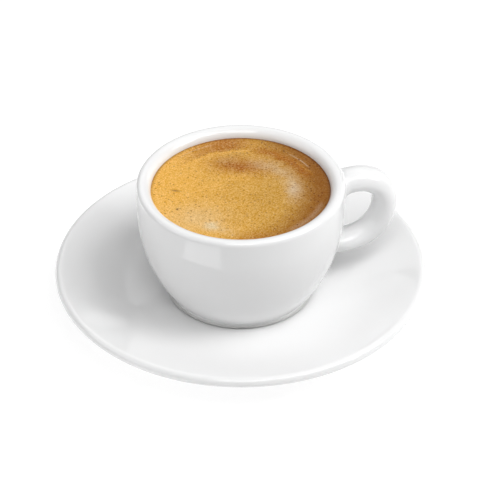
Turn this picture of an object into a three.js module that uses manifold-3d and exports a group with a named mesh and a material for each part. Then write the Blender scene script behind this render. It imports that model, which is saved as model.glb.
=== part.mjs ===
// Espresso shot in its thick-walled porcelain cup, standing on the matching saucer.
// Millimetres, +Z up. The origin is the centre of the saucer's foot on the table,
// and the cup's handle points along +X.

import * as THREE from 'three';
import { mergeVertices } from 'three/addons/utils/BufferGeometryUtils.js';
import Module from 'manifold-3d';

// Saucer: a round dish with a flat well, a rolled lip and a foot ring underneath.
const SAUCER_RADIUS = 60;
const SAUCER_WELL_HEIGHT = 6.2;
const SAUCER_WELL_RADIUS = 26.5;
const SAUCER_WALL = 3.6;
const SAUCER_LIP_RADIUS = 1.6;
const SAUCER_LIP_RISE = 6.9;
const SAUCER_LIP_SLOPE = 20;
const SAUCER_FOOT_RADIUS = 35;
const SAUCER_FOOT_WIDTH = 3.5;
const SAUCER_FOOT_ROUND = 0.5;
const SAUCER_FOOT_DRAFT = 1;

// Cup: heights are measured from the flat ring that the cup stands on.
const CUP_GAP = 0.2;
const CUP_RADIUS = 33.2;
const CUP_HEIGHT = 40.45;
const CUP_WALL = 4.6;
const CUP_BELLY_HEIGHT = 32.2;
const CUP_BELLY_PULL = 16.9;
const RIM_OUTER_ROUND = 1.5;
const RIM_INNER_ROUND = 2.95;
const CUP_BOTTOM_RADIUS = 23;
const CUP_BOTTOM_PULL = new THREE.Vector2(2.95, 3.3);
const CUP_FOOT_RADIUS = 24.05;
const CUP_FOOT_HEIGHT = 0.95;
const CUP_FOOT_ROUND = 0.4;
const CUP_FOOT_WIDTH = 4;
const CUP_FOOT_RECESS = 1.5;
const CUP_FLOOR_HEIGHT = 6;
const CUP_FLOOR_RADIUS = 13;

// Coffee: filled to just under the rounding of the rim.
const COFFEE_LEVEL = 37.7;
const COFFEE_GAP = 0.3;

// Handle: a finger ring of oval section whose centre line lies in the XZ plane.
// The pulls are the handles of its two cubic curves, which meet at its far side.
const HANDLE_TOP = new THREE.Vector3(30.5, 0, 33.5);
const HANDLE_TOP_PULL = new THREE.Vector3(8, 0, 5.1);
const HANDLE_REACH = new THREE.Vector3(47.65, 0, 26.9);
const HANDLE_REACH_PULL_UP = 8;
const HANDLE_REACH_PULL_DOWN = 12.7;
const HANDLE_BOTTOM = new THREE.Vector3(29.7, 0, 12.4);
const HANDLE_BOTTOM_PULL = new THREE.Vector3(7.3, 0, -1);
const HANDLE_HALF_WIDTH = 4.9;
const HANDLE_HALF_THICKNESS = { top: 3.6, middle: 4.1, bottom: 2.9 };
const HANDLE_FLARE = 0.3;
const HANDLE_FLARE_LENGTH = 7;

// Fineness of the curved surfaces.
const TURNED_SEGMENTS = 72;
const COFFEE_SEGMENTS = 48;
const WALL_STEPS = 8;
const ROUND_STEPS = 4;
const HANDLE_SIDES = 24;
const HANDLE_RINGS = 32;

const PORCELAIN = { color: 0xf3f3f1, roughness: 0.12, metalness: 0 };
const CREMA = { color: 0xb8813a, roughness: 0.4, metalness: 0 };

function point(radius, height) {
  return new THREE.Vector2(radius, height);
}

// Points of a circular arc in the (radius, height) plane, angles in degrees.
function arc(centre, size, fromDegrees, toDegrees) {
  const from = THREE.MathUtils.degToRad(fromDegrees);
  const to = THREE.MathUtils.degToRad(toDegrees);
  const curve = new THREE.EllipseCurve(centre.x, centre.y, size, size, from, to, to < from);
  return curve.getPoints(ROUND_STEPS);
}

// Points of a cubic curve in the (radius, height) plane.
function sweep(start, startPull, endPull, end) {
  return new THREE.CubicBezierCurve(start, startPull, endPull, end).getPoints(WALL_STEPS);
}

// Turns an outline of (radius, height) points about the Z axis.
function turned(outline, segments = TURNED_SEGMENTS) {
  return new THREE.LatheGeometry(outline, segments).rotateX(Math.PI / 2);
}

// The dish's upper and lower faces are cubic curves that meet the lip at the same slope.
function saucerGeometry() {
  const well = SAUCER_WELL_HEIGHT;
  const underside = well - SAUCER_WALL;
  const footInner = SAUCER_FOOT_RADIUS - SAUCER_FOOT_WIDTH;
  const lip = point(SAUCER_RADIUS - SAUCER_LIP_RADIUS, well + SAUCER_LIP_RISE);
  const lipTop = 90 + SAUCER_LIP_SLOPE;
  const outerLip = arc(lip, SAUCER_LIP_RADIUS, lipTop - 180, SAUCER_LIP_SLOPE);
  const innerLip = arc(lip, SAUCER_LIP_RADIUS, SAUCER_LIP_SLOPE, lipTop);
  const lipStart = outerLip[0];
  const lipEnd = innerLip[ROUND_STEPS];
  const dish = lipEnd.x - SAUCER_WELL_RADIUS;
  const slope = Math.tan(THREE.MathUtils.degToRad(SAUCER_LIP_SLOPE));
  const underPull = dish * 0.3;
  const topPull = dish * 0.35;
  return turned([
    point(0, underside),
    point(footInner - SAUCER_FOOT_DRAFT, underside),
    point(footInner, SAUCER_FOOT_ROUND),
    point(footInner + SAUCER_FOOT_ROUND, 0),
    point(SAUCER_FOOT_RADIUS - SAUCER_FOOT_ROUND, 0),
    point(SAUCER_FOOT_RADIUS, SAUCER_FOOT_ROUND),
    ...sweep(
      point(SAUCER_FOOT_RADIUS + SAUCER_FOOT_DRAFT, underside),
      point(SAUCER_FOOT_RADIUS + underPull, underside + SAUCER_FOOT_DRAFT),
      point(lipStart.x - underPull, lipStart.y - underPull * slope),
      lipStart,
    ),
    ...outerLip.slice(1),
    ...innerLip.slice(1),
    ...sweep(
      lipEnd,
      point(lipEnd.x - topPull, lipEnd.y - topPull * slope),
      point(SAUCER_WELL_RADIUS + topPull, well),
      point(SAUCER_WELL_RADIUS, well),
    ).slice(1),
    point(0, well),
  ]);
}

// The cup's outside, solid through to the axis, from its foot to the crown of its rim.
function cupOutside() {
  const footInner = CUP_FOOT_RADIUS - CUP_FOOT_WIDTH;
  const footFlat = CUP_FOOT_RADIUS - CUP_FOOT_ROUND;
  const rim = point(CUP_RADIUS - RIM_OUTER_ROUND, CUP_HEIGHT - RIM_OUTER_ROUND);
  const bottom = point(CUP_BOTTOM_RADIUS, CUP_FOOT_HEIGHT);
  return turned([
    point(0, CUP_FOOT_RECESS),
    point(footInner - CUP_FOOT_RECESS, CUP_FOOT_RECESS),
    point(footInner, 0),
    point(footFlat, 0),
    point(CUP_FOOT_RADIUS, CUP_FOOT_ROUND),
    point(footFlat, CUP_FOOT_HEIGHT - CUP_FOOT_ROUND / 2),
    ...sweep(
      bottom,
      bottom.clone().add(CUP_BOTTOM_PULL),
      point(CUP_RADIUS, CUP_BELLY_HEIGHT - CUP_BELLY_PULL),
      point(CUP_RADIUS, CUP_BELLY_HEIGHT),
    ),
    ...arc(rim, RIM_OUTER_ROUND, 0, 90),
    point(0, CUP_HEIGHT),
  ]);
}

// The inside wall from the floor's centre up to where the rim's rounding starts.
function cupInsideWall(gap) {
  const radius = CUP_RADIUS - CUP_WALL - gap;
  const floor = CUP_FLOOR_HEIGHT + gap;
  const top = CUP_HEIGHT - RIM_INNER_ROUND;
  return [
    point(0, floor),
    ...sweep(
      point(CUP_FLOOR_RADIUS - gap, floor),
      point((CUP_FLOOR_RADIUS + radius) / 2, floor),
      point(radius, top / 2),
      point(radius, top),
    ),
  ];
}

// The hollow of the cup, which opens along the inner rounding of the rim.
function cupHollow() {
  const innerRadius = CUP_RADIUS - CUP_WALL;
  const rounding = point(innerRadius + RIM_INNER_ROUND, CUP_HEIGHT - RIM_INNER_ROUND);
  const mouthTop = CUP_HEIGHT + RIM_INNER_ROUND;
  return turned([
    ...cupInsideWall(0),
    ...arc(rounding, RIM_INNER_ROUND, 180, 90).slice(1),
    point(rounding.x, mouthTop),
    point(0, mouthTop),
  ]);
}

function coffeeGeometry() {
  const radius = CUP_RADIUS - CUP_WALL - COFFEE_GAP;
  const outline = [...cupInsideWall(COFFEE_GAP), point(radius, COFFEE_LEVEL), point(0, COFFEE_LEVEL)];
  return turned(outline, COFFEE_SEGMENTS);
}

function handleCentreLine() {
  const up = new THREE.Vector3(0, 0, HANDLE_REACH_PULL_UP);
  const down = new THREE.Vector3(0, 0, HANDLE_REACH_PULL_DOWN);
  const path = new THREE.CurvePath();
  path.add(
    new THREE.CubicBezierCurve3(
      HANDLE_TOP,
      HANDLE_TOP.clone().add(HANDLE_TOP_PULL),
      HANDLE_REACH.clone().add(up),
      HANDLE_REACH,
    ),
  );
  path.add(
    new THREE.CubicBezierCurve3(
      HANDLE_REACH,
      HANDLE_REACH.clone().sub(down),
      HANDLE_BOTTOM.clone().add(HANDLE_BOTTOM_PULL),
      HANDLE_BOTTOM,
    ),
  );
  return path;
}

// Half the ring's thickness and width at a share of the way along it.
// Both ends widen where the ring runs into the cup's wall.
function handleSection(share, length) {
  const { top, middle, bottom } = HANDLE_HALF_THICKNESS;
  const end = share < 0.5 ? top : bottom;
  const toEnd = Math.abs(2 * share - 1);
  const fromEnd = Math.min(share, 1 - share) * length;
  const root = 1 - THREE.MathUtils.smoothstep(fromEnd, 0, HANDLE_FLARE_LENGTH);
  const flare = 1 + HANDLE_FLARE * root;
  const thickness = THREE.MathUtils.lerp(middle, end, toEnd * toEnd);
  return { thickness: thickness * flare, width: HANDLE_HALF_WIDTH * flare };
}

// A unit cylinder bent along the centre line, each ring of it scaled to its section.
function handleGeometry() {
  const path = handleCentreLine();
  const length = path.getLength();
  const geometry = new THREE.CylinderGeometry(1, 1, 1, HANDLE_SIDES, HANDLE_RINGS);
  const places = geometry.getAttribute('position');
  const across = new THREE.Vector3(0, 1, 0);
  for (let i = 0; i < places.count; i += 1) {
    const share = THREE.MathUtils.clamp(places.getY(i) + 0.5, 0, 1);
    const section = handleSection(share, length);
    const inward = new THREE.Vector3().crossVectors(path.getTangentAt(share), across);
    const place = path.getPointAt(share);
    place.addScaledVector(inward, places.getX(i) * section.thickness);
    place.addScaledVector(across, places.getZ(i) * section.width);
    places.setXYZ(i, place.x, place.y, place.z);
  }
  return geometry;
}

// Shared points merged and slivers dropped, as a solid that can be joined and cut.
function toSolid(wasm, geometry) {
  geometry.deleteAttribute('normal');
  geometry.deleteAttribute('uv');
  const merged = mergeVertices(geometry);
  const corners = merged.getIndex().array;
  const triangles = [];
  for (let i = 0; i < corners.length; i += 3) {
    const [a, b, c] = corners.slice(i, i + 3);
    if (a !== b && b !== c && c !== a) {
      triangles.push(a, b, c);
    }
  }
  return new wasm.Manifold(
    new wasm.Mesh({
      numProp: 3,
      vertProperties: merged.getAttribute('position').array,
      triVerts: new Uint32Array(triangles),
    }),
  );
}

function toGeometry(solid) {
  const { vertProperties, triVerts } = solid.getMesh();
  const geometry = new THREE.BufferGeometry();
  geometry.setAttribute('position', new THREE.BufferAttribute(vertProperties, 3));
  geometry.setIndex(new THREE.BufferAttribute(triVerts, 1));
  geometry.computeVertexNormals();
  return geometry;
}

// The cup and its handle are one piece of porcelain, hollowed after they are joined.
function cupGeometry(wasm) {
  const body = toSolid(wasm, cupOutside());
  const ring = toSolid(wasm, handleGeometry());
  const hollow = toSolid(wasm, cupHollow());
  return toGeometry(body.add(ring).subtract(hollow));
}

function piece(name, geometry, finish) {
  const mesh = new THREE.Mesh(geometry, new THREE.MeshStandardMaterial(finish));
  mesh.name = name;
  return mesh;
}

const wasm = await Module();
wasm.setup();

const filledCup = new THREE.Group();
filledCup.position.z = SAUCER_WELL_HEIGHT + CUP_GAP;
filledCup.add(piece('cup', cupGeometry(wasm), PORCELAIN));
filledCup.add(piece('espresso', coffeeGeometry(), CREMA));

const espressoShot = new THREE.Group();
espressoShot.add(piece('saucer', saucerGeometry(), PORCELAIN));
espressoShot.add(filledCup);

export default espressoShot;
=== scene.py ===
"""An espresso shot in its thick-walled porcelain cup, standing on its saucer.

Sizes of the pieces are in millimetres in the fields below and are turned into metres where a mesh is
made. The frame is the part's own: +Z up, the origin on the table, the cup's handle along +X.
"""

import logging
import math
from contextlib import contextmanager
from dataclasses import dataclass, field
from enum import Enum
from typing import Any, Callable, Iterator, Sequence

import bmesh
import bpy
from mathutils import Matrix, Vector


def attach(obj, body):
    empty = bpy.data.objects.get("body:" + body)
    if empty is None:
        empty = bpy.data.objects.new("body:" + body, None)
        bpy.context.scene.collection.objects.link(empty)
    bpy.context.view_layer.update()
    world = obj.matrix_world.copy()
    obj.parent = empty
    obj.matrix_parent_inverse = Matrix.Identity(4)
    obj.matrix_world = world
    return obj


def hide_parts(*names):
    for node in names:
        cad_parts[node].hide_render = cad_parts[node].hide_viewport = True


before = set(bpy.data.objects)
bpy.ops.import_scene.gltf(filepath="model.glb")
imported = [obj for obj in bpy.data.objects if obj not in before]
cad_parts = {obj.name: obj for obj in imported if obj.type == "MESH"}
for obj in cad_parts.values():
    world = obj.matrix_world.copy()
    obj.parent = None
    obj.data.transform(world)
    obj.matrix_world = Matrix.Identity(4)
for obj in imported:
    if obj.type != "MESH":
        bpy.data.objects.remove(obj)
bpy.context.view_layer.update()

MM = 0.001
ROOT = "root"
# What is left of a soft patch at its stated size
FADE = 0.08
# The value that a noise varies round
EVEN = 0.5
# Points closer than this, in millimetres, are one point
TOUCHING = 0.001

Point = tuple[float, float]
Colour = tuple[float, float, float]

log = logging.getLogger("espresso_shot")


class Slot(Enum):
    """The record's material slots."""

    SAUCER = "saucer_glaze"
    CUP = "cup_glaze"
    CREMA = "crema"


# Outlines in the (radius, height) plane


def arc(centre: Point, size: float, start: float, end: float, steps: int) -> list[Point]:
    """Points on a circular arc.

    Args:
        centre: Radius and height of the arc's centre.
        size: The arc's own radius.
        start: Angle of the first point in degrees, from the outward direction upwards.
        end: Angle of the last point in degrees.
        steps: Number of stretches between the points.

    Returns:
        The points, both ends included.
    """
    points = []
    for step in range(steps + 1):
        angle = math.radians(start + (end - start) * step / steps)
        points.append((centre[0] + size * math.cos(angle), centre[1] + size * math.sin(angle)))
    return points


def cubic(start: Point, pull_a: Point, pull_b: Point, end: Point, steps: int) -> list[Point]:
    """Points on a cubic curve.

    Args:
        start: First point.
        pull_a: Control point that the curve leaves towards.
        pull_b: Control point that the curve arrives from.
        end: Last point.
        steps: Number of stretches between the points.

    Returns:
        The points, both ends included.
    """
    points = []
    for step in range(steps + 1):
        t = step / steps
        weights = ((1 - t) ** 3, 3 * (1 - t) ** 2 * t, 3 * (1 - t) * t**2, t**3)
        corners = (start, pull_a, pull_b, end)
        points.append(tuple(sum(w * c[axis] for w, c in zip(weights, corners)) for axis in (0, 1)))
    return points


# The workbench: modelling by operators


def deselect() -> None:
    """Leaves nothing selected."""
    if bpy.context.object and bpy.context.object.mode != "OBJECT":
        bpy.ops.object.mode_set(mode="OBJECT")
    bpy.ops.object.select_all(action="DESELECT")


def take(piece: bpy.types.Object) -> None:
    """Makes a piece the only selected object, and the active one."""
    deselect()
    piece.select_set(True)
    bpy.context.view_layer.objects.active = piece


@contextmanager
def editing(piece: bpy.types.Object) -> Iterator[None]:
    """Edit mode on a piece, left again at the end of the block."""
    take(piece)
    bpy.ops.object.mode_set(mode="EDIT")
    bpy.ops.mesh.select_mode(type="VERT")
    yield
    bpy.ops.object.mode_set(mode="OBJECT")


def pick_faces(piece: bpy.types.Object, wanted: Callable[[bmesh.types.BMFace], bool]) -> None:
    """In edit mode, selects only the faces that are wanted.

    Args:
        piece: The piece being edited.
        wanted: Says of a face whether it is picked.
    """
    bpy.ops.mesh.select_mode(type="FACE")
    bpy.ops.mesh.select_all(action="DESELECT")
    mesh = bmesh.from_edit_mesh(piece.data)
    for face in mesh.faces:
        face.select_set(wanted(face))
    bmesh.update_edit_mesh(piece.data)


def pick_open_edges(piece: bpy.types.Object, wanted: Callable[[bmesh.types.BMEdge], bool]) -> None:
    """In edit mode, selects only the open edges that are wanted.

    Args:
        piece: The piece being edited.
        wanted: Says of an open edge whether it is picked.
    """
    bpy.ops.mesh.select_mode(type="EDGE")
    bpy.ops.mesh.select_all(action="DESELECT")
    mesh = bmesh.from_edit_mesh(piece.data)
    for edge in mesh.edges:
        edge.select_set(edge.is_boundary and wanted(edge))
    bmesh.update_edit_mesh(piece.data)


def apply_modifier(piece: bpy.types.Object, kind: str, **settings: Any) -> None:
    """Adds a modifier to a piece and applies it.

    Args:
        piece: The piece.
        kind: The modifier's type.
        settings: Its settings by name.
    """
    take(piece)
    modifier = piece.modifiers.new(kind.title(), kind)
    for name, value in settings.items():
        setattr(modifier, name, value)
    bpy.ops.object.modifier_apply(modifier=modifier.name)


def smooth(piece: bpy.types.Object, levels: int) -> None:
    """Subdivides a piece and shades it smooth.

    Args:
        piece: The piece.
        levels: Number of subdivisions.
    """
    apply_modifier(piece, "SUBSURF", levels=levels, render_levels=levels)
    take(piece)
    bpy.ops.object.shade_smooth()


def turn(name: str, outline: Sequence[Point], steps: int) -> bpy.types.Object:
    """Turns an outline about the Z axis, as on a potter's wheel.

    Args:
        name: The piece's name.
        outline: Radius and height of each point in millimetres, from the axis round to the axis.
        steps: Number of segments round the axis.

    Returns:
        The closed piece, its faces pointing out.
    """
    deselect()
    bpy.ops.mesh.primitive_plane_add(size=MM)
    piece = bpy.context.object
    piece.name = name
    places = [Vector((radius * MM, 0, height * MM)) for radius, height in outline]
    with editing(piece):
        bpy.ops.mesh.merge(type="CENTER")
        bpy.ops.transform.translate(value=places[0])
        for here, there in zip(places, places[1:]):
            bpy.ops.mesh.extrude_region_move(TRANSFORM_OT_translate={"value": there - here})
        bpy.ops.mesh.select_all(action="SELECT")
        bpy.ops.mesh.spin(steps=steps, angle=2 * math.pi, center=(0, 0, 0), axis=(0, 0, 1))
        bpy.ops.mesh.select_all(action="SELECT")
        bpy.ops.mesh.remove_doubles(threshold=MM * TOUCHING)
        bpy.ops.mesh.normals_make_consistent(inside=False)
    return piece


# Shader maths as Python expressions


class Flow:
    """A node's output that takes part in Python expressions."""

    def __init__(self, shader: "Shader", socket: bpy.types.NodeSocket) -> None:
        """Wraps one output socket of a shader's node."""
        self.shader = shader
        self.socket = socket

    def _math(self, operation: str, *values: Any) -> "Flow":
        """The output of one Math node."""
        return self.shader.add("ShaderNodeMath", {"operation": operation}, dict(enumerate(values)))

    def __add__(self, other: Any) -> "Flow":
        """Sum."""
        return self._math("ADD", self, other)

    def __radd__(self, other: Any) -> "Flow":
        """Sum with a number on the left."""
        return self._math("ADD", other, self)

    def __sub__(self, other: Any) -> "Flow":
        """Difference."""
        return self._math("SUBTRACT", self, other)

    def __rsub__(self, other: Any) -> "Flow":
        """Difference from a number on the left."""
        return self._math("SUBTRACT", other, self)

    def __mul__(self, other: Any) -> "Flow":
        """Product."""
        return self._math("MULTIPLY", self, other)

    def __rmul__(self, other: Any) -> "Flow":
        """Product with a number on the left."""
        return self._math("MULTIPLY", other, self)

    def __truediv__(self, other: Any) -> "Flow":
        """Quotient."""
        return self._math("DIVIDE", self, other)

    def __rtruediv__(self, other: Any) -> "Flow":
        """A number on the left divided by this."""
        return self._math("DIVIDE", other, self)

    def __pow__(self, other: Any) -> "Flow":
        """Power."""
        return self._math("POWER", self, other)

    def __rpow__(self, other: Any) -> "Flow":
        """A number raised to this power."""
        return self._math("POWER", other, self)

    def clamp(self) -> "Flow":
        """This value kept between 0 and 1."""
        return self.shader.add("ShaderNodeClamp", {}, {"Value": self})

    def step(self, low: float, high: float) -> "Flow":
        """A smooth step from 0 at low to 1 at high.

        Args:
            low: Value below which the step is 0. It may be the larger of the two.
            high: Value above which the step is 1.

        Returns:
            The step's value.
        """
        inputs = {"Value": self, "From Min": low, "From Max": high}
        if low > high:
            inputs.update({"From Min": high, "From Max": low, "To Min": 1.0, "To Max": 0.0})
        return self.shader.add("ShaderNodeMapRange", {"interpolation_type": "SMOOTHSTEP"}, inputs)


class Shader:
    """A material's node tree, built node by node around one Principled BSDF."""

    def __init__(self, name: str) -> None:
        """Starts a material.

        Args:
            name: The material's name.
        """
        self.material = bpy.data.materials.new(name)
        self.material.use_nodes = True
        self.tree = self.material.node_tree
        self.surface = self.tree.nodes["Principled BSDF"]

    def add(
        self, kind: str, settings: dict[str, Any], inputs: dict[Any, Any], output: Any = 0
    ) -> Flow:
        """Adds one node.

        Args:
            kind: The node's type.
            settings: Its settings by name.
            inputs: Values or links of its sockets, by name or number.
            output: Name or number of the output that is wanted.

        Returns:
            That output.
        """
        node = self.tree.nodes.new(kind)
        for name, value in settings.items():
            setattr(node, name, value)
        for name, value in inputs.items():
            self.feed(node.inputs[name], value)
        return Flow(self, node.outputs[output])

    def feed(self, socket: bpy.types.NodeSocket, value: Any) -> None:
        """Links or sets one input socket.

        Args:
            socket: The input.
            value: A Flow to link, or a constant to set.
        """
        if isinstance(value, Flow):
            self.tree.links.new(value.socket, socket)
        else:
            socket.default_value = value

    def finish(self, **sockets: Any) -> bpy.types.Material:
        """Feeds the surface's own sockets.

        Args:
            sockets: Values or links by socket name, with _ for a space.

        Returns:
            The material.
        """
        for name, value in sockets.items():
            self.feed(self.surface.inputs[name.replace("_", " ").title().replace("Ior", "IOR")], value)
        return self.material

    def place(self, centre: Sequence[float] = (0, 0, 0), turn_by: float = 0, size: float = 1) -> Flow:
        """Object coordinates, moved, turned and sized for one pattern.

        Args:
            centre: The pattern's own origin in metres.
            turn_by: Angle of the pattern about the vertical, in radians.
            size: Length of the pattern's own unit in metres.

        Returns:
            The coordinates, with the pattern's origin at 0 and in its own unit.
        """
        inputs = {
            "Vector": self.add("ShaderNodeTexCoord", {}, {}, "Object"),
            "Location": centre,
            "Rotation": (0, 0, turn_by),
            "Scale": (size, size, size),
        }
        return self.add("ShaderNodeMapping", {"vector_type": "TEXTURE"}, inputs)

    def axes(self, place: Flow) -> tuple[Flow, Flow, Flow]:
        """The coordinates along X, Y and Z."""
        return tuple(self.add("ShaderNodeSeparateXYZ", {}, {0: place}, axis) for axis in "XYZ")

    def distance(self, place: Flow) -> Flow:
        """Distance of a place from its coordinates' origin."""
        return self.add("ShaderNodeVectorMath", {"operation": "LENGTH"}, {0: place}, "Value")

    def noise(
        self, place: Flow, scale: float, detail: float = 2.0, roughness: float = 0.5, output: str = "Fac"
    ) -> Flow:
        """Soft noise between 0 and 1.

        Args:
            place: The coordinates.
            scale: Features for each unit of the coordinates.
            detail: Number of finer layers.
            roughness: Share of each finer layer.
            output: Fac for one noise, or Color for three.

        Returns:
            The noise.
        """
        inputs = {"Vector": place, "Scale": scale, "Detail": detail, "Roughness": roughness}
        return self.add("ShaderNodeTexNoise", {}, inputs, output)

    def mix(self, amount: Any, below: Any, above: Any) -> Flow:
        """Mixes two colours.

        Args:
            amount: Share of the second colour.
            below: First colour.
            above: Second colour.

        Returns:
            The mixed colour.
        """
        settings = {"data_type": "RGBA", "blend_type": "MIX"}
        colours = [(*c, 1.0) if isinstance(c, tuple) else c for c in (below, above)]
        return self.add("ShaderNodeMix", settings, {0: amount, 6: colours[0], 7: colours[1]}, 2)

    def vector(self, operation: str, *values: Any) -> Flow:
        """The output of one Vector Math node."""
        return self.add("ShaderNodeVectorMath", {"operation": operation}, dict(enumerate(values)))

    def grey(self, value: Flow) -> Flow:
        """A grey of a given value."""
        return self.add("ShaderNodeCombineColor", {}, {0: value, 1: value, 2: value})

    def bump(self, height: Flow, strength: float, distance: float) -> Flow:
        """A surface normal from a height.

        Args:
            height: The height, about 0 to 1.
            strength: Share of the effect.
            distance: Depth of the relief in metres.

        Returns:
            The normal.
        """
        inputs = {"Height": height, "Strength": strength, "Distance": distance}
        return self.add("ShaderNodeBump", {}, inputs)


# Finishes


@dataclass(frozen=True)
class GlazedPorcelain:
    """White porcelain under a clear glossy glaze, left rough on the foot that stood in the kiln, where
    its colour is also darker as painted shade.

    Scales are in features to the metre, and the foot's sizes and the relief in millimetres.
    """

    name: str
    foot_height: float
    foot_radius: float
    foot_soft_up: float = 0.25
    foot_soft_out: float = 0.3
    glaze: Colour = (0.862, 0.863, 0.864)
    bare_and_shade: Colour = (0.64, 0.635, 0.625)
    gloss: float = 0.07
    bare_roughness: float = 0.5
    index: float = 1.5
    cloud_scale: float = 60.0
    cloud_share: float = 0.35
    cloud_dim: float = 0.975
    ripple_scale: float = 220.0
    ripple_gloss: float = 0.02
    ripple_height: float = 0.15
    grain_scale: float = 2500.0
    relief: float = 0.15
    depth: float = 0.04

    def material(self) -> bpy.types.Material:
        """The finished material."""
        shader = Shader(self.name)
        place = shader.place()
        right, back, up = shader.axes(place)
        radius = (right * right + back * back) ** 0.5
        # Painted shade: the foot band gets a darker colour that stands in for the shade falling on it.
        low = up.step(self.foot_height * MM, (self.foot_height - self.foot_soft_up) * MM)
        inside = radius.step((self.foot_radius + self.foot_soft_out) * MM, self.foot_radius * MM)
        foot = low * inside
        cloud = shader.noise(place, self.cloud_scale, detail=3.0)
        grain = shader.noise(place, self.grain_scale, detail=2.0)
        ripple = shader.noise(place, self.ripple_scale, detail=1.0)
        dimmer = tuple(self.cloud_dim * part for part in self.glaze)
        tone = shader.mix(cloud * self.cloud_share, self.glaze, dimmer)
        height = ripple * self.ripple_height * (1 - foot) + grain * foot
        return shader.finish(
            base_color=shader.mix(foot, tone, self.bare_and_shade),
            roughness=self.gloss + ripple * self.ripple_gloss + foot * self.bare_roughness,
            normal=shader.bump(height, self.relief, self.depth * MM),
            ior=self.index,
            coat_weight=0.0,
        )


@dataclass(frozen=True)
class Patch:
    """A soft elliptical patch on the crema, in millimetres to the right of and behind the middle."""

    centre: Point
    size: Point
    angle: float = 0.0
    strength: float = 1.0

    def mask(self, across: Flow, deep: Flow) -> Flow:
        """The patch's share at a place, full in its middle and fading outwards.

        Args:
            across: Distance to the right of the middle.
            deep: Distance behind the middle.

        Returns:
            The share.
        """
        cosine, sine = math.cos(math.radians(self.angle)), math.sin(math.radians(self.angle))
        right, back = across - self.centre[0], deep - self.centre[1]
        along = (right * cosine + back * sine) / self.size[0]
        aside = (back * cosine - right * sine) / self.size[1]
        return FADE ** (along * along + aside * aside) * self.strength


@dataclass(frozen=True)
class Swirl:
    """A stretch of a ring that the pour left in the crema, in millimetres and degrees."""

    centre: Point
    radius: float
    width: float
    middle: float
    half_angle: float
    strength: float = 1.0
    taper: float = 0.8

    def mask(self, across: Flow, deep: Flow) -> Flow:
        """The ring's share at a place, full on its line and 0 beside it.

        Args:
            across: Distance to the right of the middle.
            deep: Distance behind the middle.

        Returns:
            The share.
        """
        right, back = across - self.centre[0], deep - self.centre[1]
        reach = (right * right + back * back) ** 0.5
        aside = ((reach - self.radius) / self.width) ** 2
        turn_to = math.radians(self.middle)
        heading = (right * math.cos(turn_to) + back * math.sin(turn_to)) / reach
        limit = math.cos(math.radians(self.half_angle))
        return FADE**aside * heading.step(limit, limit + self.taper * (1 - limit)) * self.strength


@dataclass(frozen=True)
class Flecks:
    """Small dark flecks, one at most in each cell of a random net.

    The net has scale cells to the millimetre, size is a fleck's radius as a share of a cell, and
    empty is the share of the cells without a fleck.
    """

    scale: float
    size: float
    empty: float
    strength: float = 1.0
    core: float = 0.35
    luck_soft: float = 0.4

    def mask(self, shader: Shader, place: Flow) -> Flow:
        """The flecks' share at a place.

        Args:
            shader: The shader that they are added to.
            place: The coordinates in millimetres.

        Returns:
            The share, full in the flecks' cores.
        """
        net = {"Vector": place, "Scale": self.scale, "Randomness": 1.0}
        near = shader.add("ShaderNodeTexVoronoi", {}, net, "Distance")
        draw = shader.add("ShaderNodeTexVoronoi", {}, net, "Color")
        luck = shader.add("ShaderNodeSeparateColor", {}, {0: draw}, 0)
        chosen = luck.step(self.empty, self.empty + self.luck_soft)
        return near.step(self.size, self.size * self.core) * chosen * self.strength


@dataclass(frozen=True)
class FoamEdge:
    """The pour's rounded edge at the back: a brown crescent behind a thin bright ridge of foam.

    Sizes are in millimetres, and each span runs from where its mask is 0 to where it is full.
    """

    centre: Point = (1.0, -3.5)
    radius: float = 25.6
    soft: float = 0.8
    crescent_deep: Point = (6.0, 18.0)
    crescent_left: Point = (-24.0, -6.0)
    crescent_right: Point = (6.0, -4.0)
    crescent_strength: float = 0.75
    ridge_inset: float = 0.9
    ridge_width: float = 0.5
    ridge_deep: Point = (6.0, 14.0)
    ridge_strength: float = 0.5

    def masks(self, across: Flow, deep: Flow) -> tuple[Flow, Flow]:
        """The shares of the crescent and of the ridge at a place.

        Args:
            across: Distance to the right of the middle.
            deep: Distance behind the middle.

        Returns:
            The crescent's share and the ridge's share.
        """
        ring = ((across - self.centre[0]) ** 2 + (deep - self.centre[1]) ** 2) ** 0.5
        outer = ring.step(self.radius - self.soft, self.radius + self.soft)
        sides = across.step(*self.crescent_left) * across.step(*self.crescent_right)
        crescent = outer * deep.step(*self.crescent_deep) * sides
        line = ((ring - self.radius + self.ridge_inset) / self.ridge_width) ** 2
        ridge = FADE**line * deep.step(*self.ridge_deep)
        return crescent * self.crescent_strength, ridge * self.ridge_strength


@dataclass(frozen=True)
class FoamMap:
    """The crema's coordinates in millimetres and the noises that its patterns share.

    Across and deep sway as the foam drifted, right and back are straight, and wisp and fine are
    noises as fine as the foam's wisps and its bubbles.
    """

    shader: Shader
    place: Flow
    across: Flow
    deep: Flow
    right: Flow
    back: Flow
    cloud: Flow
    wisp: Flow
    fine: Flow


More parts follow.
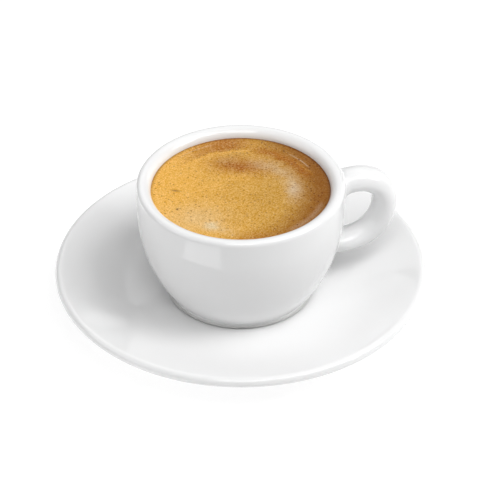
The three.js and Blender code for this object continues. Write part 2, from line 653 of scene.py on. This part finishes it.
@dataclass(frozen=True)
class Crema:
    """Golden foam on an espresso, browner where it thins out, with pale swirls and dark flecks.

    Places are in millimetres to the right of and behind the middle, scales in features to the
    millimetre, and each span runs from where its mask is 0 to where it is full.
    """

    name: str = "golden_crema"
    facing: float = -13.0
    bright: Colour = (0.78, 0.425, 0.087)
    gold: Colour = (0.54, 0.295, 0.056)
    brown: Colour = (0.24, 0.085, 0.005)
    russet_and_shade: Colour = (0.36, 0.125, 0.016)
    pale: Colour = (0.70, 0.53, 0.30)
    milky: Colour = (0.58, 0.445, 0.31)
    smoky: Colour = (0.42, 0.24, 0.10)
    tea: Colour = (0.34, 0.105, 0.0)
    fleck: Colour = (0.13, 0.03, 0.0)
    scorch_and_shade: Colour = (0.12, 0.028, 0.0)
    grain_and_glint: Colour = (0.5, 0.5, 0.35)

    sway_scale: float = 0.3
    sway: float = 3.6
    cloud_scale: float = 0.13
    wisp_scale: float = 0.45
    bubble_scale: float = 1.9

    tone_span: Point = (-26.0, 18.0)
    tone_drift: float = 26.0
    thin_span: Point = (22.0, 41.0)
    thin_lean: float = 0.6
    thin_strength: float = 0.95
    edge: FoamEdge = FoamEdge()
    amber: Swirl = Swirl((0.0, 0.0), 22.0, 3.4, 48.0, 40.0, 0.75)
    low_shade: Patch = Patch((4.0, -27.0), (13.0, 6.0), 8.0, 0.45)
    smudge: Patch = Patch((-0.5, 12.6), (15.0, 7.2), -10.0, 0.9)
    smoke: Patch = Patch((-4.0, 16.5), (7.5, 4.5), 25.0, 0.3)
    dome: Patch = Patch((-0.5, 6.0), (7.5, 4.0), 0.0, 0.5)

    veil: Swirl = Swirl((0.5, -1.5), 16.6, 4.4, 30.0, 62.0, 0.38)
    veil_heart: Patch = Patch((17.0, 0.5), (3.6, 5.2), 6.0, 0.35)
    veil_wisps: Point = (0.05, 0.55)
    foam: Patch = Patch((-8.8, -19.6), (3.6, 3.4), 0.0, 0.9)
    foam_trail: Patch = Patch((-4.5, -22.8), (5.0, 2.8), -20.0, 0.4)
    foam_wisps: Point = (0.15, 0.55)
    mist: Patch = Patch((-14.0, -15.5), (14.0, 10.0), 0.0, 0.42)
    lines: tuple[Swirl, ...] = (
        Swirl((0.0, 0.0), 26.2, 0.3, 124.0, 18.0, 0.4),
        Swirl((0.0, 0.0), 24.9, 0.28, 40.0, 13.0, 0.6),
        Swirl((0.0, 0.0), 26.6, 1.4, -36.0, 24.0, 0.25),
    )

    grain_strength: float = 1.5
    grain_wisps: float = 0.3
    grain_loss: float = 0.65
    coarse_flecks: Flecks = Flecks(0.85, 0.36, 0.4)
    fine_flecks: Flecks = Flecks(1.45, 0.36, 0.4, 0.7)
    fleck_strength: float = 0.5
    streak: Patch = Patch((-20.6, -0.9), (2.3, 0.9), -14.0, 0.76)
    streak_grain: Point = (0.3, 0.6)
    dot: Patch = Patch((-19.9, -10.9), (0.6, 0.8), 0.0, 0.95)
    rim_span: Point = (27.4, 28.5)
    rim_deep: Point = (-14.0, 10.0)
    rim_strength: float = 0.6

    index: float = 1.3
    roughness: float = 0.42
    wisp_gloss: float = 0.12
    bubble_height: float = 0.6
    wisp_height: float = 0.4
    fleck_depth: float = 0.5
    relief: float = 0.35
    depth: float = 0.12

    def material(self) -> bpy.types.Material:
        """The finished material."""
        shader = Shader(self.name)
        at = self.map_foam(shader)
        thin = self.thinning(at)
        colour = self.pale_foam(at, self.base_tones(at, thin))
        flecks = self.coarse_flecks.mask(shader, at.place) + self.fine_flecks.mask(shader, at.place)
        flecks = flecks.clamp() * (self.fleck_strength + thin * (1 - self.fleck_strength))
        height = at.fine * self.bubble_height + at.wisp * self.wisp_height
        return shader.finish(
            base_color=self.specks(at, colour, thin, flecks),
            roughness=self.roughness - at.wisp * self.wisp_gloss,
            normal=shader.bump(height - flecks * self.fleck_depth, self.relief, self.depth * MM),
            ior=self.index,
        )

    def map_foam(self, shader: Shader) -> FoamMap:
        """The coordinates and noises that the patterns share."""
        place = shader.place(turn_by=math.radians(self.facing), size=MM)
        drift = shader.noise(place, self.sway_scale, detail=4.0, roughness=0.6, output="Color")
        drift = shader.vector("SUBTRACT", drift, (EVEN, EVEN, EVEN))
        bent = shader.vector("MULTIPLY_ADD", drift, (self.sway, self.sway, 0.0), place)
        return FoamMap(
            shader,
            place,
            *shader.axes(bent)[:2],
            *shader.axes(place)[:2],
            cloud=shader.noise(place, self.cloud_scale, detail=4.0, roughness=0.6),
            wisp=shader.noise(bent, self.wisp_scale, detail=4.0, roughness=0.65),
            fine=shader.noise(place, self.bubble_scale, detail=3.0, roughness=0.75),
        )

    def thinning(self, at: FoamMap) -> Flow:
        """How far the foam has thinned out, from 0 to 1, most of all at the right."""
        reach = (at.across * at.across + at.deep * at.deep) ** 0.5
        return (reach + at.across * self.thin_lean).step(*self.thin_span)

    def base_tones(self, at: FoamMap, thin: Flow) -> Flow:
        """The foam's gold with its brown and russet parts, and a painted shade at its front.

        Args:
            at: The coordinates and noises.
            thin: How far the foam has thinned out.

        Returns:
            The colour.
        """
        mix = at.shader.mix
        drift = (at.cloud - EVEN) * self.tone_drift
        colour = mix((at.across + drift).step(*self.tone_span), self.bright, self.gold)
        colour = mix(thin * self.thin_strength, colour, self.brown)
        crescent, ridge = self.edge.masks(at.across, at.deep)
        colour = mix(crescent, colour, self.russet_and_shade)
        colour = mix(ridge, colour, self.bright)
        tones = (
            (self.amber, self.tea),
            # low_shade is painted shade at the front of the crema.
            (self.low_shade, self.russet_and_shade),
            (self.smudge, self.russet_and_shade),
            (self.smoke, self.smoky),
            (self.dome, self.bright),
        )
        for shape, tone in tones:
            colour = mix(shape.mask(at.across, at.deep), colour, tone)
        return colour

    def pale_foam(self, at: FoamMap, colour: Flow) -> Flow:
        """Adds the milky veil, the pale foam in front and the thin light lines.

        Args:
            at: The coordinates and noises.
            colour: The colour so far.

        Returns:
            The colour with the pale parts.
        """
        mix = at.shader.mix
        bent = (at.across, at.deep)
        veil = self.veil.mask(*bent) + self.veil_heart.mask(*bent)
        colour = mix(veil * at.wisp.step(*self.veil_wisps), colour, self.milky)
        foam = self.foam.mask(*bent) + self.foam_trail.mask(*bent)
        foam = foam * at.wisp.step(*self.foam_wisps) + self.mist.mask(*bent)
        colour = mix(foam.clamp(), colour, self.pale)
        lines = sum(line.mask(at.right, at.back) for line in self.lines)
        return mix(lines, colour, self.milky)

    def specks(self, at: FoamMap, colour: Flow, thin: Flow, flecks: Flow) -> Flow:
        """Adds the bubbles' grain with painted glints, the flecks, the dark marks and the painted shade
        under the rim.

        Args:
            at: The coordinates and noises.
            colour: The colour so far.
            thin: How far the foam has thinned out.
            flecks: The flecks' share.

        Returns:
            The finished colour.
        """
        shader, fine, wisp = at.shader, at.fine, at.wisp
        # Partly painted glints: the grain is added to the colour, so its light specks stand in for the
        # bubbles' highlights as well as their grain.
        grain = (fine - EVEN) * self.grain_strength + (wisp - EVEN) * self.grain_wisps
        grain = shader.grey(grain * (1 - thin * self.grain_loss))
        colour = shader.vector("MULTIPLY_ADD", grain, self.grain_and_glint, colour)
        colour = shader.mix(flecks, colour, self.fleck)
        streak = self.streak.mask(at.right, at.back) * fine.step(*self.streak_grain)
        marks = streak + self.dot.mask(at.right, at.back)
        colour = shader.mix(marks.clamp(), colour, self.scorch_and_shade)
        # Painted shade: the coffee next to the wall at the back is darkened, as where the rim shades it.
        radius = (at.right * at.right + at.back * at.back) ** 0.5
        shade = radius.step(*self.rim_span) * at.back.step(*self.rim_deep)
        return shader.mix(shade * self.rim_strength, colour, self.scorch_and_shade)


@dataclass(frozen=True)
class StudioFloor:
    """A plain white light table: a matt sheet with a glow from below that dims towards its edge.

    In millimetres, shade gives the radii where the glow under the saucer is off and full, a painted
    shadow of the saucer, and edge the distances from its middle where it is dim and full.
    """

    name: str = "white_light_table"
    colour: Colour = (0.35, 0.35, 0.35)
    mottle_scale: float = 8.0
    mottle_dim: float = 0.995
    roughness: float = 0.9
    glow: float = 0.73
    shade: Point = (28.0, 43.0)
    middle: Point = (11.0, 49.0)
    edge: Point = (280.0, 165.0)
    dim: float = 0.3

    def material(self) -> bpy.types.Material:
        """The finished material."""
        shader = Shader(self.name)
        place = shader.place()
        mottle = shader.noise(place, self.mottle_scale)
        dimmer = tuple(self.mottle_dim * part for part in self.colour)
        # Painted shadow: the glow is off under the saucer, where its shadow falls on the floor.
        under = shader.distance(place).step(self.shade[0] * MM, self.shade[1] * MM)
        middle = shader.place((self.middle[0] * MM, self.middle[1] * MM, 0.0))
        bright = shader.distance(middle).step(self.edge[0] * MM, self.edge[1] * MM)
        return shader.finish(
            base_color=shader.mix(mottle, self.colour, dimmer),
            roughness=self.roughness,
            emission_color=shader.grey(under * (self.dim + bright * (1 - self.dim))),
            emission_strength=self.glow,
        )


# The pieces


@dataclass
class Saucer:
    """The round dish with a flat well, a rolled lip and a foot ring.

    The pulls are shares of the dish's width, and the lean and the spread are shares of the foot's
    rounding.
    """

    radius: float = 60.0
    well_height: float = 6.2
    well_radius: float = 26.5
    wall: float = 3.6
    lip_radius: float = 1.6
    lip_rise: float = 6.9
    lip_slope: float = 20.0
    foot_radius: float = 35.0
    foot_width: float = 3.5
    foot_round: float = 0.5
    foot_draft: float = 1.0
    foot_lean: float = 0.3
    foot_spread: float = 1.6
    underside_pull: float = 0.3
    dish_pull: float = 0.35
    bare_and_shade_height: float = 0.6
    lip_steps: int = 10
    underside_steps: int = 12
    dish_steps: int = 16
    segments: int = 96
    levels: int = 1

    def outline(self) -> list[Point]:
        """Radius and height of each point of the profile, from the axis below to the axis above."""
        under = self.well_height - self.wall
        inner = self.foot_radius - self.foot_width
        lip = (self.radius - self.lip_radius, self.well_height + self.lip_rise)
        crown = 90 + self.lip_slope
        edge = arc(lip, self.lip_radius, crown - 180, crown, self.lip_steps)
        start, end = edge[0], edge[-1]
        dish = end[0] - self.well_radius
        slope = math.tan(math.radians(self.lip_slope))
        below, above = dish * self.underside_pull, dish * self.dish_pull
        underside = cubic(
            (self.foot_radius + self.foot_draft, under),
            (self.foot_radius + below, under + self.foot_draft),
            (start[0] - below, start[1] - below * slope),
            start,
            self.underside_steps,
        )
        dish_top = cubic(
            end,
            (end[0] - above, end[1] - above * slope),
            (self.well_radius + above, self.well_height),
            (self.well_radius, self.well_height),
            self.dish_steps,
        )
        soft = self.foot_round
        lean, spread = soft * self.foot_lean, soft * self.foot_spread
        return [
            (0.0, under),
            (inner / 2, under),
            (inner - self.foot_draft, under),
            (inner - lean, spread),
            (inner, soft),
            (inner + soft, 0.0),
            (self.foot_radius - soft, 0.0),
            (self.foot_radius, soft),
            (self.foot_radius + lean, spread),
            *underside,
            *edge[1:],
            *dish_top[1:],
            (self.well_radius / 2, self.well_height),
            (0.0, self.well_height),
        ]

    def build(self) -> bpy.types.Object:
        """Makes and dresses the saucer.

        Returns:
            The finished piece.
        """
        piece = turn("saucer_glazed", self.outline(), self.segments)
        smooth(piece, self.levels)
        glaze = GlazedPorcelain("saucer_glaze", self.bare_and_shade_height, self.foot_radius)
        piece.data.materials.append(glaze.material())
        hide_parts("saucer")
        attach(piece, ROOT)
        return piece


@dataclass
class FingerRing:
    """The handle's bar: a tapered oval bar bent along two cubic curves."""

    base: float
    top: Point = (30.5, 33.5)
    top_pull: Point = (8.0, 5.1)
    reach: Point = (47.65, 26.9)
    reach_pull_up: float = 8.0
    reach_pull_down: float = 12.7
    bottom_pull: Point = (7.3, -1.0)
    bottom: Point = (29.7, 12.4)
    half_width: float = 4.9
    half_thickness: tuple[float, float, float] = (3.6, 4.1, 2.9)
    clear_top: float = 5.6
    clear_bottom: float = 4.6
    sides: int = 16
    rings: int = 16
    samples: int = 100
    resolution: int = 64

    def corners(self) -> tuple[tuple[Point, ...], tuple[Point, ...]]:
        """The control points of the two curves."""
        reach_up = (self.reach[0], self.reach[1] + self.reach_pull_up)
        reach_down = (self.reach[0], self.reach[1] - self.reach_pull_down)
        leave = (self.top[0] + self.top_pull[0], self.top[1] + self.top_pull[1])
        arrive = (self.bottom[0] + self.bottom_pull[0], self.bottom[1] + self.bottom_pull[1])
        return (
            (self.top, leave, reach_up, self.reach),
            (self.reach, reach_down, arrive, self.bottom),
        )

    def length(self) -> float:
        """Length of the bar's line in millimetres."""
        total = 0.0
        for corners in self.corners():
            points = cubic(*corners, self.samples)
            total += sum(math.dist(here, there) for here, there in zip(points, points[1:]))
        return total

    def thickness(self, share: float) -> float:
        """Half the bar's thickness at a share of its length."""
        top, middle, bottom = self.half_thickness
        end = top if share < 0.5 else bottom
        return middle + (end - middle) * (2 * share - 1) ** 2

    def straight_bar(self) -> bpy.types.Object:
        """Makes the open-ended bar along +X, before it is bent."""
        length = self.length()
        start, end = self.clear_top / length, 1 - self.clear_bottom / length
        shares = [start + (end - start) * ring / self.rings for ring in range(self.rings + 1)]
        # Subdivision draws a ring of corners in, so the ring starts larger by as much.
        swell = 3 / (2 + math.cos(2 * math.pi / self.sides))
        deselect()
        bpy.ops.mesh.primitive_circle_add(
            vertices=self.sides, radius=MM * swell, rotation=(0, math.pi / 2, 0)
        )
        bar = bpy.context.object
        bpy.ops.object.transform_apply(location=False, rotation=True, scale=True)
        with editing(bar):
            bpy.ops.transform.resize(value=(1, self.half_width, self.thickness(shares[0])))
            bpy.ops.transform.translate(value=(shares[0] * length * MM, 0, 0))
            for here, there in zip(shares, shares[1:]):
                move = {"value": ((there - here) * length * MM, 0, 0)}
                bpy.ops.mesh.extrude_region_move(TRANSFORM_OT_translate=move)
                growth = self.thickness(there) / self.thickness(here)
                bpy.ops.transform.resize(value=(1, 1, growth))
        return bar

    def bent_line(self) -> bpy.types.Object:
        """Makes the line that the bar is bent along."""
        upper, lower = self.corners()
        deselect()
        bpy.ops.curve.primitive_bezier_curve_add()
        line = bpy.context.object
        line.data.resolution_u = self.resolution
        bpy.ops.object.mode_set(mode="EDIT")
        bpy.ops.curve.select_all(action="SELECT")
        bpy.ops.curve.subdivide()
        bpy.ops.object.mode_set(mode="OBJECT")
        knots = (
            (upper[0], upper[0], upper[1]),
            (upper[2], upper[3], lower[1]),
            (lower[2], lower[3], lower[3]),
        )
        for knot, places in zip(line.data.splines[0].bezier_points, knots):
            knot.handle_left_type = knot.handle_right_type = "FREE"
            left, middle, right = (Vector((x, 0, z + self.base)) * MM for x, z in places)
            knot.handle_left, knot.co, knot.handle_right = left, middle, right
        return line

    def build(self) -> bpy.types.Object:
        """Makes the bent bar with both its ends open.

        Returns:
            The bar.
        """
        bar, line = self.straight_bar(), self.bent_line()
        apply_modifier(bar, "CURVE", object=line, deform_axis="POS_X")
        take(line)
        bpy.ops.object.delete()
        return bar


@dataclass
class Cup:
    """The thick-walled cup with its finger ring, one piece of porcelain."""

    base: float = 6.4
    radius: float = 33.2
    height: float = 40.45
    wall: float = 4.66
    belly_height: float = 32.2
    belly_pull: float = 16.9
    outer_round: float = 1.5
    inner_round: float = 2.95
    bottom_radius: float = 23.0
    bottom_pull: Point = (2.95, 3.3)
    foot_radius: float = 24.05
    foot_height: float = 0.95
    foot_round: float = 0.4
    foot_width: float = 4.0
    foot_recess: float = 1.5
    floor_height: float = 6.0
    floor_radius: float = 13.0
    foot_rows: tuple[float, ...] = (1.0, 1.8, 3.0, 4.6, 6.4)
    lower_joint: tuple[float, ...] = (8.4, 10.35, 12.3, 14.25, 16.2)
    belly_rows: tuple[float, ...] = (18.6, 21.2, 24.0, 27.0)
    upper_joint: tuple[float, ...] = (29.8, 32.0, 34.2, 36.5, 38.8)
    joint_half_width: float = 6.6
    joint_cuts: int = 2
    rim_start: float = 10.0
    rim_steps: int = 5
    mouth_steps: int = 7
    hollow_steps: int = 12
    samples: int = 400
    segments: int = 64
    levels: int = 2

    def wall_rows(self) -> list[Point]:
        """Points up the outside of the wall, some of them where the finger ring is joined on."""
        curve = cubic(
            (self.bottom_radius, self.foot_height),
            (self.bottom_radius + self.bottom_pull[0], self.foot_height + self.bottom_pull[1]),
            (self.radius, self.belly_height - self.belly_pull),
            (self.radius, self.belly_height),
            self.samples,
        )
        heights = (*self.foot_rows, *self.lower_joint, *self.belly_rows, *self.upper_joint)
        rows = []
        for height in heights:
            nearest = min(curve, key=lambda point: abs(point[1] - height))
            rows.append((nearest[0], height))
        return rows

    def outline(self) -> list[Point]:
        """Radius and height of each point of the profile, from the axis below to the axis inside."""
        inner = self.foot_radius - self.foot_width
        flat = self.foot_radius - self.foot_round
        rim = (self.radius - self.outer_round, self.height - self.outer_round)
        inside = self.radius - self.wall
        mouth = (inside + self.inner_round, self.height - self.inner_round)
        hollow = cubic(
            (inside, mouth[1]),
            (inside, mouth[1] / 2),
            ((self.floor_radius + inside) / 2, self.floor_height),
            (self.floor_radius, self.floor_height),
            self.hollow_steps,
        )
        points = [
            (0.0, self.foot_recess),
            (inner - self.foot_recess, self.foot_recess),
            (inner, 0.0),
            (flat, 0.0),
            (self.foot_radius, self.foot_round),
            (flat, self.foot_height - self.foot_round / 2),
            *self.wall_rows(),
            *arc(rim, self.outer_round, self.rim_start, 90, self.rim_steps),
            *arc(mouth, self.inner_round, 90, 180, self.mouth_steps),
            *hollow[1:],
            (0.0, self.floor_height),
        ]
        return [(radius, height + self.base) for radius, height in points]

    def join_ring(self, piece: bpy.types.Object) -> None:
        """Grows the finger ring out of the wall.

        Args:
            piece: The cup's body.
        """
        with editing(piece):
            for joint in (self.lower_joint, self.upper_joint):
                pick_faces(piece, lambda face: self.under_ring(face, joint))
                bpy.ops.mesh.delete(type="FACE")
        bar = FingerRing(self.base).build()
        take(bar)
        piece.select_set(True)
        bpy.context.view_layer.objects.active = piece
        bpy.ops.object.join()
        middle = (self.base + (self.lower_joint[-1] + self.upper_joint[0]) / 2) * MM
        bridge = {"number_cuts": self.joint_cuts, "interpolation": "SURFACE", "smoothness": 1.0}
        with editing(piece):
            for upper in (False, True):
                pick_open_edges(piece, lambda edge: (edge.verts[0].co.z > middle) == upper)
                bpy.ops.mesh.bridge_edge_loops(**bridge)
            bpy.ops.mesh.select_all(action="SELECT")
            bpy.ops.mesh.normals_make_consistent(inside=False)

    def under_ring(self, face: bmesh.types.BMFace, joint: tuple[float, ...]) -> bool:
        """Says whether a face of the outer wall makes way for one end of the finger ring.

        Args:
            face: The face.
            joint: Heights of the rows that the end of the ring is joined to.

        Returns:
            Whether the face lies under that end.
        """
        centre = face.calc_center_median() / MM
        height = centre.z - self.base
        outside = face.normal.x > 0 and centre.x > self.bottom_radius
        return outside and joint[0] < height < joint[-1] and abs(centre.y) < self.joint_half_width

    def build(self) -> bpy.types.Object:
        """Makes and dresses the cup.

        Returns:
            The finished piece.
        """
        piece = turn("cup_glazed", self.outline(), self.segments)
        self.join_ring(piece)
        smooth(piece, self.levels)
        glaze = GlazedPorcelain("cup_glaze", self.base + self.foot_height, self.foot_radius)
        piece.data.materials.append(glaze.material())
        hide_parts("cup")
        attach(piece, ROOT)
        return piece


@dataclass
class Espresso:
    """The coffee with its crema, up to the level in the cup and reaching just into its wall."""

    cup: Cup = field(default_factory=Cup)
    level: float = 37.7
    reach: float = 0.15
    shoulder: float = 1.0
    side_steps: int = 10
    ring_shares: tuple[float, ...] = (0.96, 0.8, 0.6, 0.4, 0.2)
    sharp_angle: float = 40.0
    segments: int = 96

    def outline(self) -> list[Point]:
        """Radius and height of each point of the profile, from the axis below to the axis above."""
        cup = self.cup
        radius = cup.radius - cup.wall + self.reach
        floor = cup.floor_height - self.reach
        side = cubic(
            (cup.floor_radius, floor),
            ((cup.floor_radius + radius) / 2, floor),
            (radius, (cup.height - cup.inner_round) / 2),
            (radius, self.level - self.shoulder),
            self.side_steps,
        )
        rings = [(radius * share, self.level) for share in self.ring_shares]
        points = [(0.0, floor), *side, (radius, self.level), *rings, (0.0, self.level)]
        return [(r, h + cup.base) for r, h in points]

    def build(self) -> bpy.types.Object:
        """Makes and dresses the coffee.

        Returns:
            The finished piece.
        """
        piece = turn("espresso_crema", self.outline(), self.segments)
        take(piece)
        bpy.ops.object.shade_smooth_by_angle(angle=math.radians(self.sharp_angle))
        piece.data.materials.append(Crema().material())
        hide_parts("espresso")
        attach(piece, ROOT)
        return piece


# The studio


@dataclass(frozen=True)
class Softbox:
    """A soft rectangular light, placed by its angles from the camera's side in degrees.

    Its distance and size are in metres and its power in watts.
    """

    name: str
    azimuth: float
    elevation: float
    distance: float
    size: Point
    power: float


@dataclass
class Studio:
    """The floor, the soft lights and the camera, whose aim and distance are in millimetres."""

    aim: tuple[float, float, float] = (-0.22, 0.05, 23.95)
    distance: float = 836.3
    azimuth: float = -13.0
    elevation: float = 36.71
    focal_px: float = 2600.0
    frame_px: float = 480.0
    sensor: float = 36.0
    floor_size: float = 6.0
    softboxes: tuple[Softbox, ...] = (
        Softbox("key_right", 80, 40, 1.0, (0.4, 0.4), 3.1),
        Softbox("key_right_high", 62, 62, 1.0, (0.4, 0.4), 2.35),
        Softbox("key_side_high", 92, 62, 1.0, (0.35, 0.35), 1.45),
        Softbox("key_side_low", 120, 18, 1.0, (0.9, 0.5), 1.6),
        Softbox("front_high", 0, 62, 1.0, (0.4, 0.4), 2.35),
        Softbox("front_high_right", 30, 62, 1.0, (0.35, 0.35), 0.3),
        Softbox("overhead", 45, 84, 1.0, (0.6, 0.6), 0.8),
        Softbox("left_low", -70, 20, 1.0, (0.9, 0.5), 2.0),
        Softbox("left_high", -82, 42, 1.0, (0.6, 0.5), 1.1),
        Softbox("back_left", 150, 62, 1.0, (0.35, 0.35), 0.35),
        Softbox("back_right", -165, 45, 1.0, (0.9, 0.5), 1.1),
        Softbox("back_strip_left", 168.5, 13, 1.0, (0.055, 0.15), 0.018),
        Softbox("back_strip_right", -168.5, 13, 1.0, (0.055, 0.15), 0.018),
        Softbox("front_strip", 0, 5, 0.8, (0.6, 0.05), 0.06),
    )
    cards: tuple[Softbox, ...] = (
        Softbox("front_card", -34.5, 0.7, 0.083, (0.05, 0.03), 0.0065),
        Softbox("left_card", -110, 0.4, 0.16, (0.16, 0.07), 0.09),
    )

    @staticmethod
    def direction(azimuth: float, elevation: float) -> Vector:
        """Unit vector from the object towards a place seen at these angles in degrees."""
        a, e = math.radians(azimuth), math.radians(elevation)
        return Vector((math.sin(a) * math.cos(e), -math.cos(a) * math.cos(e), math.sin(e)))

    def build_camera(self) -> bpy.types.Object:
        """Makes the camera at the photograph's viewing angle."""
        deselect()
        back = self.direction(self.azimuth, self.elevation)
        place = (Vector(self.aim) + back * self.distance) * MM
        bpy.ops.object.camera_add(location=place, rotation=(-back).to_track_quat("-Z", "Y").to_euler())
        camera = bpy.context.object
        camera.data.sensor_width = self.sensor
        camera.data.lens = self.focal_px / self.frame_px * self.sensor
        bpy.context.scene.camera = camera
        return camera

    def build_floor(self) -> bpy.types.Object:
        """Makes the floor."""
        deselect()
        bpy.ops.mesh.primitive_plane_add(size=self.floor_size)
        floor = bpy.context.object
        floor.name = "studio_floor"
        floor.data.materials.append(StudioFloor().material())
        return floor

    def add_light(self, softbox: Softbox, flat: bool = False) -> None:
        """Adds a soft rectangular light.

        Args:
            softbox: The light.
            flat: Whether it lies on the floor, where it shows only in the glaze.
        """
        deselect()
        back = self.direction(self.azimuth + softbox.azimuth, softbox.elevation)
        facing = (-back).to_track_quat("-Z", "Y").to_euler()
        if flat:
            facing = (math.pi, 0, math.radians(self.azimuth + softbox.azimuth))
        bpy.ops.object.light_add(type="AREA", location=back * softbox.distance, rotation=facing)
        light = bpy.context.object
        light.name = softbox.name
        light.data.shape = "RECTANGLE"
        light.data.size, light.data.size_y = softbox.size
        light.data.energy = softbox.power
        light.visible_camera = light.visible_diffuse = not flat

    @staticmethod
    def darken_air() -> None:
        """Leaves the softboxes and the floor as the only lights."""
        world = bpy.data.worlds.new("studio_air")
        bpy.context.scene.world = world
        world.use_nodes = True
        world.node_tree.nodes["Background"].inputs["Strength"].default_value = 0.0

    def build(self) -> None:
        """Makes the whole studio."""
        self.build_camera()
        self.build_floor()
        for softbox in self.softboxes:
            self.add_light(softbox)
        for card in self.cards:
            self.add_light(card, flat=True)
        self.darken_air()
        bpy.context.scene.view_settings.view_transform = "Standard"


def main() -> None:
    """Builds the saucer, the cup, the coffee and the studio, and logs each piece's number of faces."""
    logging.basicConfig(level=logging.INFO, format="%(name)s: %(message)s")
    for maker in (Saucer(), Cup(), Espresso()):
        piece = maker.build()
        log.info("%s has %d faces", piece.name, len(piece.data.polygons))
    Studio().build()


if __name__ == "__main__":
    main()
